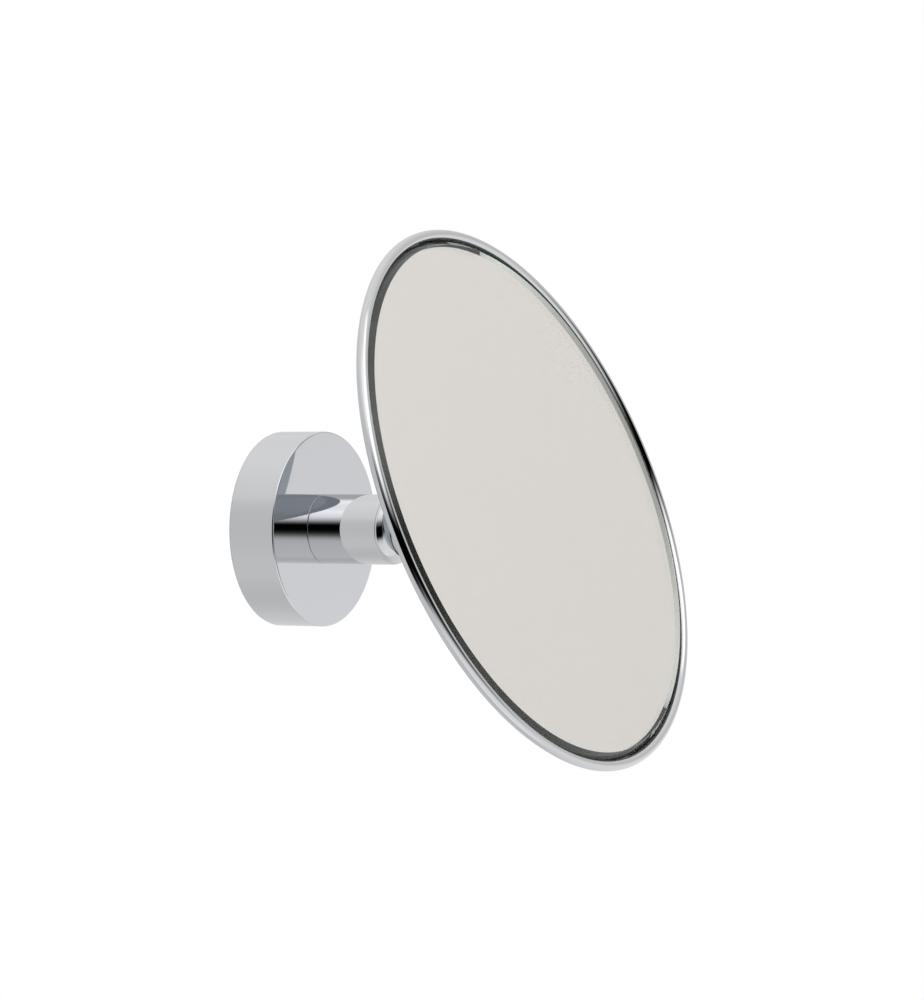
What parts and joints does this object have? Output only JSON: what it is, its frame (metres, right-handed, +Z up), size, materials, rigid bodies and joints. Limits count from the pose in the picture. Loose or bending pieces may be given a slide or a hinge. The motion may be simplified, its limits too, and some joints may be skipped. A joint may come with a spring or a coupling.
{
  "type": "extendable shaving mirror",
  "caption": "Round wall-mounted shaving mirror in a chrome rim, on a ball joint at the end of a short telescopic arm that stands on a round wall rose.",
  "frame": {"origin": "centre of the wall face, on the axis of the arm", "axes": "+Z up, the arm points along -Y, away from the wall; +X to the right of someone facing the wall"},
  "size_m": [0.2, 0.1376, 0.1882],
  "materials": {
    "chrome": "polished chrome plate",
    "satin_shell": "satin, light grey",
    "bracket_steel": "zinc-plated sheet steel",
    "screw_steel": "stainless",
    "brass": "turned brass",
    "nylon": "natural nylon",
    "liner_nylon": "black nylon",
    "rubber": "black rubber",
    "foam": "grey closed-cell foam",
    "silvering": "silver coat under lacquer",
    "glass": "clear float glass, faintly green at the edge"
  },
  "bodies": {
    "wall_unit": {"wall_bracket": "bracket_steel", "wall_gasket": "rubber", "rose_cover": "chrome", "grub_screw": "screw_steel", "arm_sleeve": "chrome", "sleeve_washer": "screw_steel", "sleeve_nut": "brass", "rear_circlip": "screw_steel", "front_bush": "nylon", "friction_ring": "rubber", "end_collar": "chrome"},
    "slide": {"slide_tube": "chrome", "tail_bush": "nylon", "ball_seat": "nylon", "disc_springs": "screw_steel", "preload_plug": "brass"},
    "liner": {"ball_liner": "liner_nylon"},
    "stud": {"ball_stud": "chrome", "stud_washer": "screw_steel", "stud_nut": "screw_steel"},
    "head": {"hub_boss": "chrome", "hub_plate": "bracket_steel", "hub_screws": "screw_steel", "back_shell": "satin_shell", "foam_pad": "foam", "packing_ring": "rubber", "mirror_silver": "silvering", "mirror_glass": "glass", "rim_ring": "chrome"}
  },
  "joints": [
    {"name": "arm_extend", "type": "slide", "parent": "wall_unit", "child": "slide", "axis": [0, -1, 0], "range_m": [0, 0.025]},
    {"name": "mirror_pan", "type": "hinge", "parent": "slide", "child": "liner", "pos_m": [0, -0.0702, 0], "axis": [0, 0, 1], "range_deg": [-30, 30]},
    {"name": "mirror_tilt", "type": "hinge", "parent": "liner", "child": "stud", "pos_m": [0, -0.0702, 0], "axis": [-1, 0, 0], "range_deg": [-50, 10]},
    {"name": "mirror_spin", "type": "hinge", "parent": "stud", "child": "head", "pos_m": [0, -0.0702, 0], "axis": [0, -0.9397, 0.342], "continuous": true}
  ]
}
